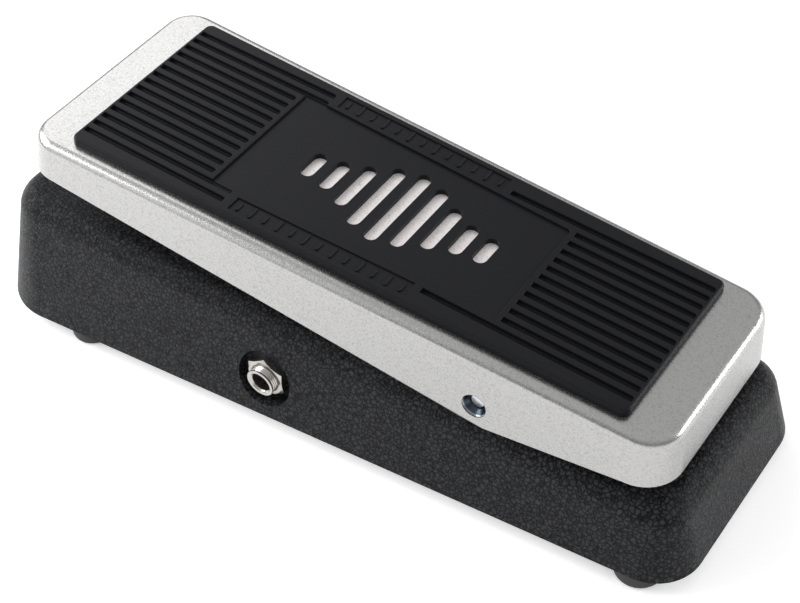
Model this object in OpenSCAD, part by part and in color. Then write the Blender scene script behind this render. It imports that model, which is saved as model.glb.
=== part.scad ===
// Rocker filter pedal for electric guitar: a cast wedge housing with a rocking treadle.
// Millimetres. +Y points to the toe end, +X to the player's right, +Z up, z = 0 on the floor.

/* [Housing] */
// Length of the housing at its lower edge
base_len = 252; // [248:0.5:256]
// Width of the lower edge at the toe end
toe_w = 102; // [100:0.5:104]
// Width of the lower edge at the heel end
heel_w = 79.4; // [78:0.2:81]
// Plan radius of the two toe corners
toe_corner_r = 22.4; // [21:0.2:24]
// Plan radius of the two heel corners
heel_corner_r = 14.8; // [14:0.2:16]
// Height of the top face above the floor at the toe end
rim_toe_z = 47.4; // [47:0.1:48]
// Height of the top face above the floor at the heel end
rim_heel_z = 28.2; // [28:0.1:29]
// Draft angle of the cast walls
draft = 13.8; // [13:0.1:14.5]
// Radius of the edge between the walls and the top face
rim_r = 8; // [7:0.2:9]
// Thickness of the cast walls
wall = 3.2; // [2.8:0.1:3.4]
// Height of the lower edge above the floor
edge_z = 5; // [5:0.1:5.2]

/* [Treadle] */
// Tilt of the treadle at rest, toe end up
tilt = 5.85; // [5.8:0.01:5.9]
// Height of the treadle's top face over the middle of the housing
tread_z = 65.2; // [65:0.1:65.4]
// Half width of the treadle at its toe end
tread_toe_half = 39.5; // [39:0.1:40]
// Half width of the treadle at its heel end
tread_heel_half = 33.4; // [33:0.1:34]
// Toe end of the treadle, along its own top face
tread_toe_y = 101.2; // [100:0.1:102]
// Heel end of the treadle, along its own top face
tread_heel_y = -117.4; // [-118:0.1:-117]
// Radius of the edge between the treadle's top face and its skirts
tread_edge_r = 3; // [2.5:0.1:3.2]
// Thickness of the treadle's plate
plate_t = 3.2; // [3:0.1:3.4]
// Thickness of the treadle's skirts
skirt_t = 2.8; // [2.4:0.1:3]

/* [Rubber pad] */
// Height of the pad above the treadle's plate
pad_h = 2.6; // [2.4:0.1:2.8]
// Half width of the pad at its toe end
pad_toe_half = 33.8; // [33:0.1:34]
// Half width of the pad at its heel end
pad_heel_half = 29.2; // [29:0.1:29.6]
// Toe end of the pad
pad_toe_y = 86.7; // [86:0.1:87]
// Heel end of the pad
pad_heel_y = -102.7; // [-103:0.1:-102]
// Distance between the middles of two grooves
groove_pitch = 4; // [3.8:0.1:4.1]

/* [Pivot and drive] */
// Place of the treadle's pivot along the pedal
pivot_y = -58.9; // [-59:0.1:-58.8]
// Height of the treadle's pivot above the floor
pivot_z = 42.2; // [42.1:0.1:42.3]
// Diameter of the pivot shaft
shaft_d = 5; // [4.8:0.1:5.2]
// Module of the rack and its pinion
gear_m = 0.8; // [0.75:0.01:0.8]
// Number of teeth on the pinion
pinion_teeth = 18; // [18:1:18]
// Height of the pinion's axis above the floor
pinion_z = 21; // [20.8:0.1:21.2]

/* [Sockets] */
// Place of the two signal sockets along the pedal
jack_y = 13.2; // [12.5:0.1:13.5]
// Height of the two signal sockets above the floor
jack_z = 18.4; // [18:0.1:18.6]
// Distance from the middle plane to the floor of a socket's dish
dish_x = 39.8; // [39.6:0.1:40]
// Diameter of the socket's dish
dish_d = 18.8; // [18:0.2:19]
// Place of the power socket along the pedal
power_y = 58; // [56:0.5:60]
// Height of the power socket above the floor
power_z = 20; // [19.5:0.1:20.5]
// Distance from the middle plane to the seat of the power socket
power_x = 39; // [38.5:0.1:39]

/* [Hidden] */
$fn = 48;
gap = 0.02;
half_len = base_len / 2;
rim_slope = atan((rim_toe_z - rim_heel_z) / base_len);
plate_z = edge_z + 1.2;
cavity_inset = wall + 0.1;

// Half width of the housing's lower edge, and height of its top face, at a place along the pedal
function edge_half(y) = heel_w / 2 + (toe_w - heel_w) / 2 * (y + half_len) / base_len;
function rim_z(y) = rim_heel_z + (rim_toe_z - rim_heel_z) * (y + half_len) / base_len;
function ceiling_z(y) = rim_z(y) - cavity_inset;

// Centres of the corner arcs
toe_cy = half_len - toe_corner_r;
heel_cy = heel_corner_r - half_len;
toe_cx = edge_half(toe_cy) - toe_corner_r;
heel_cx = edge_half(heel_cy) - heel_corner_r;

// An outline with rounded corners: two ends of different half width, as a list of points
function arc_pts(cx, cy, r, a0, a1, n = 8) =
    [for (i = [0 : n]) let (a = a0 + (a1 - a0) * i / n) [cx + r * cos(a), cy + r * sin(a)]];
function outline(toe_half, heel_half, toe_y, heel_y, rt, rh) =
    let (lean = atan((toe_half - heel_half) / (toe_y - heel_y)),
         k = (toe_half - heel_half) / (toe_y - heel_y),
         tx = toe_half - k * rt - rt / cos(lean),
         hx = heel_half + k * rh - rh / cos(lean))
    concat(arc_pts(hx, heel_y + rh, rh, -90, -lean),
           arc_pts(tx, toe_y - rt, rt, -lean, 90),
           arc_pts(-tx, toe_y - rt, rt, 90, 180 + lean),
           arc_pts(-hx, heel_y + rh, rh, 180 + lean, 270));

// Boss and screw places: feet screws, board screws, bracket screws
foot_at = [[41.4, 87], [-41.4, 87], [32.8, -110.6], [-32.8, -110.6]];
board_at = [[19, -50], [-19, -50], [19, -97], [-19, -97]];
bracket_screw_at = [[16, -6.5], [16, 9]];
board_z = 19.4;
board_t = 1.6;
post_r = 3.2;
small_screw_r = 1.4;
bracket_z = 31.7;

// Treadle frame: local y runs along the top face, local w is normal to it
module on_treadle() translate([0, 0, tread_z]) rotate([tilt, 0, 0]) children();
function tread_y(y, z) = y * cos(tilt) + (z - tread_z) * sin(tilt);
function tread_w(y, z) = -y * sin(tilt) + (z - tread_z) * cos(tilt);
function tread_half(y) = tread_heel_half
    + (tread_toe_half - tread_heel_half) * (y - tread_heel_y) / (tread_toe_y - tread_heel_y);
tread_toe_r = 10;
tread_heel_r = 11;
tread_draft = 6.5;
skirt_toe = 12.9;
skirt_pivot = 23.4;
skirt_heel = 17;
skirt_pivot_y = -60.8;
pivot_ly = tread_y(pivot_y, pivot_z);
pivot_lw = tread_w(pivot_y, pivot_z);
shaft_r = shaft_d / 2;
shaft_half = 34.6;

// Rack drive: the rack hangs from the treadle level with the pivot and turns the pinion
rack_y = -10;
rack_arm = rack_y - pivot_y;
rack_half_t = 3;
pitch_r = gear_m * pinion_teeth / 2;
tooth_pitch = PI * gear_m;
pitch_line_y = rack_y + 4;
pinion_y = pitch_line_y + pitch_r;
backlash = 0.1;
rack_pin_ly = tread_y(rack_y, pivot_z);
rack_pin_lw = tread_w(rack_y, pivot_z);

// Footswitch place, under the toe end of the treadle
switch_y = 88;
switch_seat_z = 46;
switch_wall = 6;
plunger_top_z = 53.2;
plunger_r = 4;
bushing_r = 6;

// Threaded barrels of the sockets, their nuts, and the power socket's nose
barrel_r = 4.75;
jack_nut_h = 2.6;
power_nose_r = 4.95;

module foot_pattern() for (p = foot_at) translate([p[0], p[1], 0]) children();
module about_pivot() translate([0, pivot_y, pivot_z]) rotate([0, 90, 0]) children();
module about_pinion() translate([0, pinion_y, pinion_z]) rotate([0, 90, 0]) children();
module at_jack(side) translate([side * dish_x, jack_y, jack_z]) rotate([0, side * 90, 0]) children();
module tube(ro, ri, h) difference() {
    cylinder(r = ro, h = h);
    translate([0, 0, -1]) cylinder(r = ri, h = h + 2);
}
module hex_nut(across, ri, h) difference() {
    cylinder(r = across / 2 / cos(30), h = h, $fn = 6);
    translate([0, 0, -1]) cylinder(r = ri, h = h + 2);
}
// A screw that points up +Z with its head's underside at z = 0
module screw(r, len, head_r, head_h) {
    cylinder(r = r, h = len);
    difference() {
        translate([0, 0, -head_h]) cylinder(r = head_r, h = head_h);
        for (a = [0, 90]) rotate([0, 0, a])
            translate([-head_r * 0.6, -0.35, -head_h - 1]) cube([head_r * 1.2, 0.7, 1 + head_h * 0.5]);
    }
}

// The drafted wedge with its rounded rim; inset shrinks it evenly for the cavity
module corner_ring(cx, cy, r, inset, at_y) {
    rise = rim_z(at_y) - rim_r - edge_z;
    ring_r = r - rise * tan(draft) - rim_r;
    translate([cx, cy, rim_z(cy) - rim_r]) rotate([rim_slope, 0, 0])
        rotate_extrude($fn = 40) intersection() {
            translate([ring_r, 0]) circle(r = rim_r - inset, $fn = 40);
            translate([0, -rim_r]) square([toe_corner_r, 2 * rim_r]);
        }
}
module wedge(inset, low) hull() for (s = [-1, 1]) {
    translate([s * toe_cx, toe_cy, low])
        cylinder(r = toe_corner_r - inset + (edge_z - low) * tan(draft), h = 0.1, $fn = 64);
    translate([s * heel_cx, heel_cy, low])
        cylinder(r = heel_corner_r - inset + (edge_z - low) * tan(draft), h = 0.1, $fn = 64);
    corner_ring(s * toe_cx, toe_cy, toe_corner_r, inset, (toe_cy + half_len) / 2);
    corner_ring(s * heel_cx, heel_cy, heel_corner_r, inset, (heel_cy - half_len) / 2);
}

// Bosses, posts and thick pads that stay solid inside the housing
module inner_bosses() {
    foot_pattern() translate([0, 0, plate_z]) cylinder(r = 4.5, h = 50);
    for (p = board_at) translate([p[0], p[1], board_z + board_t]) cylinder(r = post_r, h = 20);
    for (p = bracket_screw_at) translate([p[0], p[1], bracket_z + 1.5]) cylinder(r = post_r, h = 10);
    for (side = [-1, 1]) at_jack(side) translate([0, 0, -3.2]) cylinder(r = 11.5, h = 10);
    translate([power_x, power_y - 8, 12]) cube([10, 16, 17]);
    translate([0, switch_y, switch_seat_z - switch_wall]) cylinder(r = 11, h = switch_wall);
    translate([-27, pivot_y - 10, ceiling_z(pivot_y) - 3]) cube([54, 20, 12]);
}
// The pivot's pedestal stands on the top face: two cheeks with bushes and a friction block between
cheek_x = 21;
cheek_w = 11;
cheek_r = 8;
bush_r = 4;
pedestal_w = 2 * cheek_x + cheek_w;
top_face_z = rim_z(pivot_y) - rim_r + rim_r / cos(rim_slope);
module pivot_pedestal() color([0.13, 0.13, 0.14]) difference() {
    union() {
        for (s = [-1, 1]) translate([s * cheek_x - cheek_w / 2, pivot_y, 0]) {
            translate([0, -cheek_r, top_face_z - 4]) cube([cheek_w, 2 * cheek_r, pivot_z - top_face_z + 4]);
            translate([0, 0, pivot_z]) rotate([0, 90, 0]) cylinder(r = cheek_r, h = cheek_w);
        }
        translate([-6, pivot_y - cheek_r, top_face_z - 4])
            cube([12, 2 * cheek_r, pivot_z - top_face_z + 10]);
        translate([-pedestal_w / 2, pivot_y - cheek_r, top_face_z - 4]) cube([pedestal_w, 2 * cheek_r, 6]);
    }
    // The foot of the pedestal follows the sloping top face
    translate([-pedestal_w, pivot_y, top_face_z]) rotate([rim_slope, 0, 0])
        translate([0, -50, -20]) cube([2 * pedestal_w, 100, 20]);
    about_pivot() translate([0, 0, -pedestal_w / 2 - 1]) {
        cylinder(r = bush_r, h = cheek_w + 1.5);
        translate([0, 0, pedestal_w - cheek_w + 0.5]) cylinder(r = bush_r, h = cheek_w + 1.5);
        cylinder(r = shaft_r + 0.5, h = pedestal_w);
    }
    translate([0, pivot_y, pivot_z]) rotate([90, 0, 0]) cylinder(r = 2, h = 12);
}
module base_housing() color([0.13, 0.13, 0.14]) difference() {
    union() {
        difference() {
            wedge(0, edge_z);
            difference() {
                wedge(cavity_inset, edge_z - 1);
                inner_bosses();
            }
        }
        translate([0, switch_y, switch_seat_z - 4]) cylinder(r = 10, h = 4);
    }
    // Well for the rack
    translate([-7.5, rack_y - 7.5, 20]) cube([15, 14.5, 30]);
    // Screw holes
    foot_pattern() cylinder(r = foot_screw_r, h = 20);
    for (p = board_at) translate([p[0], p[1], board_z]) cylinder(r = small_screw_r, h = 8);
    for (p = bracket_screw_at) translate([p[0], p[1], bracket_z]) cylinder(r = small_screw_r, h = 4.6);
    // Sockets and switch
    for (side = [-1, 1]) at_jack(side) {
        cylinder(d = dish_d, h = 20);
        translate([0, 0, -10]) cylinder(r = barrel_r + 0.1, h = 12);
    }
    translate([power_x - 1, power_y, power_z]) rotate([0, 90, 0]) cylinder(r = power_nose_r + 0.05, h = 12);
    translate([0, switch_y, 30]) cylinder(r = bushing_r + 0.1, h = 30);
}

// The plate lies inside the housing's walls, level with their lower edge
plate_inset = cavity_inset + 0.6;
foot_screw_r = 2;
module bottom_plate() color([0.55, 0.55, 0.57]) difference() {
    translate([0, 0, edge_z]) linear_extrude(plate_z - edge_z)
        polygon(outline(toe_w / 2 - plate_inset, heel_w / 2 - plate_inset,
                        half_len - plate_inset, plate_inset - half_len,
                        toe_corner_r - plate_inset, heel_corner_r - plate_inset));
    foot_pattern() cylinder(r = foot_screw_r + 0.3, h = 10);
}

foot_h = edge_z;
foot_head_z = 2.4;
foot_r = 7.5;
foot_edge = 0.8;
foot_head_r = 3.8;
module rubber_feet() color([0.09, 0.09, 0.09]) foot_pattern() difference() {
    union() {
        cylinder(r1 = foot_r - 0.6, r2 = foot_r, h = foot_edge);
        translate([0, 0, foot_edge]) cylinder(r = foot_r, h = foot_h - foot_edge);
    }
    translate([0, 0, -1]) cylinder(r = foot_head_r + 0.5, h = 1 + foot_head_z);
    cylinder(r = foot_screw_r + 0.2, h = foot_h + 1);
}
module foot_screws() color([0.75, 0.75, 0.77]) foot_pattern() translate([0, 0, foot_head_z])
    screw(foot_screw_r - gap, 14, foot_head_r, 1.8);

// Treadle: a tapered tray with a rounded top edge and skirts that are deepest at the pivot
module tread_corner(s, toe) {
    k = (tread_toe_half - tread_heel_half) / (tread_toe_y - tread_heel_y);
    r = toe ? tread_toe_r : tread_heel_r;
    cy = toe ? tread_toe_y - r : tread_heel_y + r;
    translate([s * (tread_half(cy) - r), cy, 0]) children();
}
module tread_form(inset, top, extra) hull() {
    for (s = [-1, 1], toe = [false, true]) tread_corner(s, toe) {
        r = toe ? tread_toe_r : tread_heel_r;
        depth = (toe ? skirt_toe : skirt_heel) + extra;
        if (top == 0) translate([0, 0, -tread_edge_r]) rotate_extrude($fn = 48)
            translate([r - tread_edge_r, 0]) circle(r = tread_edge_r, $fn = 32);
        else translate([0, 0, -top - 0.1]) cylinder(r = r - inset, h = 0.1, $fn = 48);
        translate([0, 0, -depth])
            cylinder(r = r - inset + (depth - tread_edge_r) * tan(tread_draft), h = 0.1, $fn = 48);
    }
    half = tread_half(skirt_pivot_y) - inset + (skirt_pivot + extra - tread_edge_r) * tan(tread_draft);
    translate([-half, skirt_pivot_y - 4, -skirt_pivot - extra]) cube([2 * half, 8, 0.1]);
}
heel_stop_at = [[15, -104], [-15, -104]];
heel_stop_w = -16.1;
toe_stop_ly = 86;
toe_stop_w = -4.2;
plate_rib_t = 2;
plate_rib_h = 3;
shaft_boss_x = 28.5;
shaft_boss_r = 6;
grub_x = 31.4;
grub_r = 1.5;
mouth_r = 3.9;
mouth_depth = 1.8;
mouth_x = tread_half(pivot_ly) + 1.6;
bracket_hole_y = [-8, 8];
module treadle() color([0.78, 0.78, 0.78]) on_treadle() difference() {
    union() {
        difference() {
            tread_form(0, 0, 0);
            difference() {
                tread_form(skirt_t, plate_t, 3);
                // Ribs, shaft bosses and stop posts that stay solid under the plate
                for (x = [-18, 18]) translate([x - plate_rib_t / 2, -120, -plate_t - plate_rib_h])
                    cube([plate_rib_t, 230, 6]);
                for (y = [-35, 20, 62]) translate([-45, y - plate_rib_t / 2, -plate_t - plate_rib_h])
                    cube([90, plate_rib_t, 6]);
                for (x = [-45, shaft_boss_x]) translate([x, pivot_ly, pivot_lw]) {
                    rotate([0, 90, 0]) cylinder(r = shaft_boss_r, h = 45 - shaft_boss_x);
                    translate([0, -shaft_boss_r, 0]) cube([45 - shaft_boss_x, 2 * shaft_boss_r, 20]);
                }
                for (p = heel_stop_at) translate([p[0], p[1], heel_stop_w])
                    cylinder(r = 4, h = -heel_stop_w);
                translate([-9, rack_pin_ly - 11, -plate_t - 2]) cube([18, 22, 6]);
                translate([0, toe_stop_ly, toe_stop_w]) cylinder(r = 9, h = -toe_stop_w);
            }
        }
    }
    // Pivot holes with their countersinks
    for (s = [-1, 1]) translate([0, pivot_ly, pivot_lw]) rotate([0, s * 90, 0]) {
        cylinder(r = shaft_r, h = 50);
        translate([0, 0, mouth_x - mouth_depth]) cylinder(r1 = shaft_r + 0.2, r2 = mouth_r, h = mouth_depth);
        translate([0, 0, mouth_x - 0.01]) cylinder(r = mouth_r, h = 6);
    }
    // Grub screw holes up to the shaft, and the bracket's screw holes
    for (s = [-1, 1]) translate([s * grub_x, pivot_ly, pivot_lw - 12]) cylinder(r = grub_r, h = 12);
    for (y = bracket_hole_y) translate([0, rack_pin_ly + y, -8]) cylinder(r = 1.5, h = 8 - plate_t / 2);
}

// Pad: grooves run along the foot, a sunk panel sits between them and bars are cut through it
panel_toe_y = 40.5;
panel_heel_y = -56.5;
panel_depth = 0.8;
groove_w = 1.2;
groove_d = 1.3;
bar_w = 4.4;
bar_pitch = 7.6;
bar_count = 9;
bar_mid_y = -10;
function bar_len(i) = 10 + 22 * exp(-pow((i - (bar_count - 1) / 2) / 2.1, 2));
module grooves(n, y0, y1) for (k = [-n : n])
    translate([k * groove_pitch - groove_w / 2, y0, pad_h - groove_d]) cube([groove_w, y1 - y0, 3]);
module rubber_pad() color([0.16, 0.16, 0.17]) on_treadle() difference() {
    linear_extrude(pad_h)
        polygon(outline(pad_toe_half, pad_heel_half, pad_toe_y, pad_heel_y, 2.5, 2.5));
    grooves(7, panel_toe_y + 3, pad_toe_y - 2.4);
    grooves(6, pad_heel_y + 2.4, panel_heel_y - 3);
    translate([0, 0, pad_h - panel_depth]) linear_extrude(3)
        polygon(outline(24, 21, panel_toe_y, panel_heel_y, 0.5, 0.5));
    for (i = [0 : bar_count - 1]) translate([0, bar_mid_y + (i - (bar_count - 1) / 2) * bar_pitch, -1]) {
        half = (bar_len(i) - bar_w) / 2;
        translate([-half, -bar_w / 2, 0]) cube([2 * half, bar_w, 5]);
        for (s = [-1, 1]) translate([s * half, 0, 0]) cylinder(d = bar_w, h = 5);
    }
}

// Pivot: the shaft is held in the treadle by grub screws and turns in two bushes in the pedestal
module pivot_shaft() color([0.8, 0.8, 0.82]) about_pivot() translate([0, 0, -shaft_half]) {
    cylinder(r1 = shaft_r - 0.4, r2 = shaft_r, h = 0.4);
    translate([0, 0, 0.4]) cylinder(r = shaft_r, h = 2 * shaft_half - 0.8);
    translate([0, 0, 2 * shaft_half - 0.4]) cylinder(r1 = shaft_r, r2 = shaft_r - 0.4, h = 0.4);
}
module shaft_grub_screws() color([0.3, 0.3, 0.32]) on_treadle()
    for (s = [-1, 1]) translate([s * grub_x, pivot_ly, pivot_lw - shaft_r - 3.6]) difference() {
        cylinder(r = grub_r - gap, h = 3.5);
        translate([0, 0, -1]) cylinder(r = 0.75, h = 2.5, $fn = 6);
    }
module pivot_bushes() color([0.85, 0.83, 0.76]) for (s = [-1, 1])
    translate([s * cheek_x - cheek_w / 2, pivot_y, pivot_z]) rotate([0, 90, 0])
        tube(bush_r, shaft_r + 0.03, cheek_w);
module friction_plug() color([0.9, 0.9, 0.86]) translate([0, pivot_y - shaft_r - 0.05, pivot_z])
    rotate([90, 0, 0]) cylinder(r = 1.9, h = 2.4);
module tension_screw() color([0.35, 0.35, 0.37]) translate([0, pivot_y - shaft_r - 2.5, pivot_z])
    rotate([90, 0, 0]) difference() {
        cylinder(r = 2 - gap, h = 4.5);
        translate([-3, -0.4, 3.7]) cube([6, 0.8, 2]);
    }

// Rack drive
sheet_t = 1.5;
module rack_bracket() color([0.62, 0.62, 0.64]) on_treadle() {
    difference() {
        union() {
            translate([-9, rack_pin_ly - 11, -plate_t - 2 - sheet_t]) cube([18, 22, sheet_t]);
            for (x = [rack_half_t + 0.2, -rack_half_t - 0.2 - sheet_t])
                translate([x, rack_pin_ly, rack_pin_lw]) {
                    rotate([0, 90, 0]) cylinder(r = 4, h = sheet_t);
                    translate([0, -4, 0]) cube([sheet_t, 8, -plate_t - 3 - rack_pin_lw]);
                }
        }
        translate([-10, rack_pin_ly, rack_pin_lw]) rotate([0, 90, 0]) cylinder(r = 1.5, h = 20);
        for (y = bracket_hole_y) translate([0, rack_pin_ly + y, -8]) cylinder(r = 1.6, h = 6);
    }
}
module rack_bracket_screws() color([0.75, 0.75, 0.77]) on_treadle()
    for (y = bracket_hole_y) translate([0, rack_pin_ly + y, -plate_t - 3.5])
        screw(1.5 - gap, 4.6, 2.6, 1.4);
module rack_pin() color([0.8, 0.8, 0.82]) translate([-5.6, rack_y, pivot_z]) rotate([0, 90, 0]) {
    cylinder(r = 1.5, h = 11.2);
    translate([0, 0, -0.9]) cylinder(r = 2.2, h = 0.9);
}
rack_low_z = pinion_z - 8.3;
tip_x = pitch_line_y + 0.9 * gear_m;
root_x = pitch_line_y - 1.25 * gear_m;
tooth_half = tooth_pitch / 4 - backlash / 2;
half_tip = tooth_half - 0.9 * gear_m * tan(20);
half_root = tooth_half + 1.25 * gear_m * tan(20);
module toothed_rack() color([0.9, 0.88, 0.8]) difference() {
    translate([-rack_half_t, 0, 0]) rotate([90, 0, 90]) linear_extrude(2 * rack_half_t) union() {
        polygon(concat([[rack_y - 3, rack_low_z]], [[root_x, rack_low_z]],
            [for (k = [-3 : 2], p = [[root_x, -half_root], [tip_x, -half_tip],
                                     [tip_x, half_tip], [root_x, half_root]])
                [p[0], pinion_z + (k + 0.5) * tooth_pitch + p[1]]],
            [[root_x, pivot_z], [rack_y - 3, pivot_z]]));
        translate([rack_y, pivot_z]) circle(r = 4);
    }
    translate([-5, rack_y, pivot_z]) rotate([0, 90, 0]) cylinder(r = 1.54, h = 10);
}
module rack_guide() color([0.92, 0.92, 0.9]) {
    translate([-5, rack_y - 7, 17]) cube([10, 3.5, 12]);
    for (x = [-5, 3.25]) translate([x, rack_y - 3.5, 17]) cube([1.75, 4.5, 12]);
    translate([5, rack_y - 7, 18]) cube([3.5, 3.5, 10]);
}

// Pinion with involute teeth: half angle of a tooth at radius r
base_r = pitch_r * cos(20);
function roll(r) = sqrt(max(0, pow(r / base_r, 2) - 1));
function inv_deg(r) = roll(r) * 180 / PI - atan(roll(r));
function tooth_angle(r) = 90 / pinion_teeth - backlash / 2 / pitch_r * 180 / PI
    + inv_deg(pitch_r) - inv_deg(r);
pot_shaft_r = 3;
pot_neck_r = 3.5;
pot_r = 8.4;
pinion_grub_r = 0.8;
pinion_tip_r = pitch_r + 0.95 * gear_m;
pinion_root_r = pitch_r - 1.25 * gear_m;
flank_r = [pinion_root_r, base_r, pitch_r, pitch_r + 0.5 * gear_m, pinion_tip_r];
module pinion_gear() color([0.9, 0.88, 0.8]) about_pinion() difference() {
    union() {
        translate([0, 0, -rack_half_t]) linear_extrude(2 * rack_half_t)
            polygon([for (i = [0 : pinion_teeth - 1], j = [0 : 9])
                let (r = flank_r[j < 5 ? j : 9 - j], a = tooth_angle(r) * (j < 5 ? -1 : 1),
                     c = -90 + i * 360 / pinion_teeth)
                [r * cos(c + a), r * sin(c + a)]]);
        cylinder(r = 5, h = rack_half_t + 3);
    }
    translate([0, 0, -5]) cylinder(r = pot_shaft_r, h = 15);
    translate([0, 0, 4.5]) rotate([0, 90, 0]) cylinder(r = pinion_grub_r, h = 8);
}
module pinion_grub_screw() color([0.3, 0.3, 0.32]) about_pinion()
    translate([pot_shaft_r + gap, 0, 4.5]) rotate([0, 90, 0]) cylinder(r = pinion_grub_r - gap, h = 2.2);
module pot_shaft() color([0.8, 0.8, 0.82]) about_pinion() translate([0, 0, -4])
    cylinder(r = pot_shaft_r, h = 16);
module pot_case() color([0.35, 0.42, 0.3]) about_pinion() difference() {
    union() {
        translate([0, 0, 6.7]) cylinder(r = pot_neck_r, h = 4);
        translate([0, 0, 10]) cylinder(r = pot_r, h = 9);
    }
    translate([0, 0, 6]) cylinder(r = pot_shaft_r + 0.05, h = 6.5);
}
module pot_lugs() color([0.8, 0.78, 0.6]) difference() {
    for (y = [-5, 0, 5]) translate([12, pinion_y + y - 1, 7.8]) cube([0.8, 2, 7]);
    translate([8, 0, 0]) about_pinion() cylinder(r = pot_r, h = 9);
}
module pot_nut() color([0.8, 0.8, 0.8]) about_pinion() translate([0, 0, 7]) hex_nut(10, pot_neck_r, 1.5);
module pot_bracket() color([0.62, 0.62, 0.64]) difference() {
    union() {
        translate([8.5, -9.5, 11]) cube([sheet_t, 21.5, bracket_z - 11 + sheet_t]);
        translate([8.5, rack_y - 7, 14]) cube([sheet_t, 8, 15]);
        translate([8.5, -9.5, bracket_z]) cube([13.5, 21.5, sheet_t]);
    }
    about_pinion() translate([0, 0, 5]) cylinder(r = pot_neck_r, h = 7);
    for (p = bracket_screw_at) translate([p[0], p[1], bracket_z - 1])
        cylinder(r = small_screw_r + 0.1, h = 4);
}
module pot_bracket_screws() color([0.75, 0.75, 0.77])
    for (p = bracket_screw_at) translate([p[0], p[1], bracket_z]) screw(small_screw_r - gap, 4.4, 2.4, 1.2);

// Footswitch
module at_switch(z) translate([0, switch_y, z]) children();
switch_deck_z = switch_seat_z - switch_wall;
module footswitch_case() color([0.12, 0.2, 0.42]) difference() {
    at_switch(switch_deck_z - 16.2) translate([-8.5, -8.5, 0]) cube([17, 17, 15]);
    at_switch(switch_deck_z - 9.5) cylinder(r = plunger_r + 0.3, h = 12);
}
module footswitch_bushing() color([0.8, 0.8, 0.82]) at_switch(switch_deck_z) difference() {
    union() {
        translate([0, 0, -1.2]) cylinder(r = 8.3, h = 1.2);
        cylinder(r = bushing_r, h = 10.5);
    }
    translate([0, 0, -2]) cylinder(r = plunger_r + 0.05, h = 14);
}
module footswitch_lugs() color([0.8, 0.78, 0.6])
    for (x = [-5, 0, 5], y = [-4, 4]) at_switch(switch_deck_z - 20.7)
        translate([x - 1.1, y - 0.4, 0]) cube([2.2, 0.8, 4.5]);
module footswitch_washer() color([0.75, 0.75, 0.77]) at_switch(switch_seat_z) tube(9, bushing_r + 0.1, 0.8);
module footswitch_nut() color([0.8, 0.8, 0.82]) at_switch(switch_seat_z + 0.8) hex_nut(14.3, bushing_r, 2);
module footswitch_plunger() color([0.82, 0.82, 0.84]) at_switch(switch_deck_z - 6) {
    straight = plunger_top_z - switch_deck_z + 5.2;
    cylinder(r = plunger_r, h = straight);
    translate([0, 0, straight]) cylinder(r1 = plunger_r, r2 = plunger_r - 0.8, h = 0.8);
}
module toe_bumper() color([0.1, 0.1, 0.1]) on_treadle()
    translate([0, toe_stop_ly, toe_stop_w - 2.3]) cylinder(r = 7, h = 2.3);
module heel_bumpers() color([0.1, 0.1, 0.1]) on_treadle()
    for (p = heel_stop_at) translate([p[0], p[1], heel_stop_w - 3]) cylinder(r = 3.8, h = 3);

// Signal sockets: local z points out of the side, 0 is the floor of the dish
plug_hole_r = 3.25;
barrel_out = 5.2;
thread_depth = 0.3;
thread_pitch = 0.7;
module thread_groove(z) translate([0, 0, z]) rotate_extrude()
    polygon([[barrel_r - thread_depth, 0], [barrel_r + 1, -1.3], [barrel_r + 1, 1.3]]);
module jack_frame(side) at_jack(side) {
    difference() {
        union() {
            translate([0, 0, -4.4]) cylinder(r = barrel_r, h = barrel_out + 4.4);
            translate([0, 0, -4.7]) cylinder(r = 8.5, h = 1.5);
        }
        translate([0, 0, -6]) cylinder(r = plug_hole_r, h = 13);
        translate([0, 0, barrel_out - 0.6]) cylinder(r1 = plug_hole_r, r2 = plug_hole_r + 0.65, h = 0.65);
        for (i = [0 : 2]) thread_groove(jack_nut_h + (i + 0.5) * thread_pitch);
    }
    translate([5.5, -6, -24]) cube([1.2, 12, 19.5]);
}
module jack_contacts(side) at_jack(side) {
    translate([6.7, -4, -22]) cube([3.5, 8, 8]);
    for (y = [-3.4, 0.6]) translate([0, y + 2.8, 0]) rotate([90, 0, 0]) linear_extrude(2.8)
        polygon([[7.6, -22], [8.1, -22], [8.1, -25.4], [5, -26.9], [3.6, -25.6], [3.9, -25.2],
                 [5.1, -26.3], [7.6, -25.1]]);
}
module output_jack() color([0.78, 0.76, 0.72]) jack_frame(-1);
module output_jack_contacts() color([0.85, 0.78, 0.5]) jack_contacts(-1);
module output_jack_nut() color([0.8, 0.79, 0.77]) at_jack(-1) hex_nut(12.7, barrel_r, jack_nut_h);
module input_jack() color([0.78, 0.76, 0.72]) jack_frame(1);
module input_jack_contacts() color([0.85, 0.78, 0.5]) jack_contacts(1);
module input_jack_nut() color([0.8, 0.79, 0.77]) at_jack(1) hex_nut(12.7, barrel_r, jack_nut_h);
module at_power() translate([power_x, power_y, power_z]) rotate([0, 90, 0]) children();
module power_jack() color([0.08, 0.08, 0.08]) at_power() difference() {
    union() {
        translate([-6.5, -6.5, -14]) cube([13, 13, 14]);
        cylinder(r = power_nose_r, h = 2.6);
    }
    translate([0, 0, -11]) cylinder(r = 3.1, h = 15);
}
module power_jack_pin() color([0.85, 0.8, 0.6]) at_power() translate([0, 0, -11]) cylinder(r = 1.05, h = 11);

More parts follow.
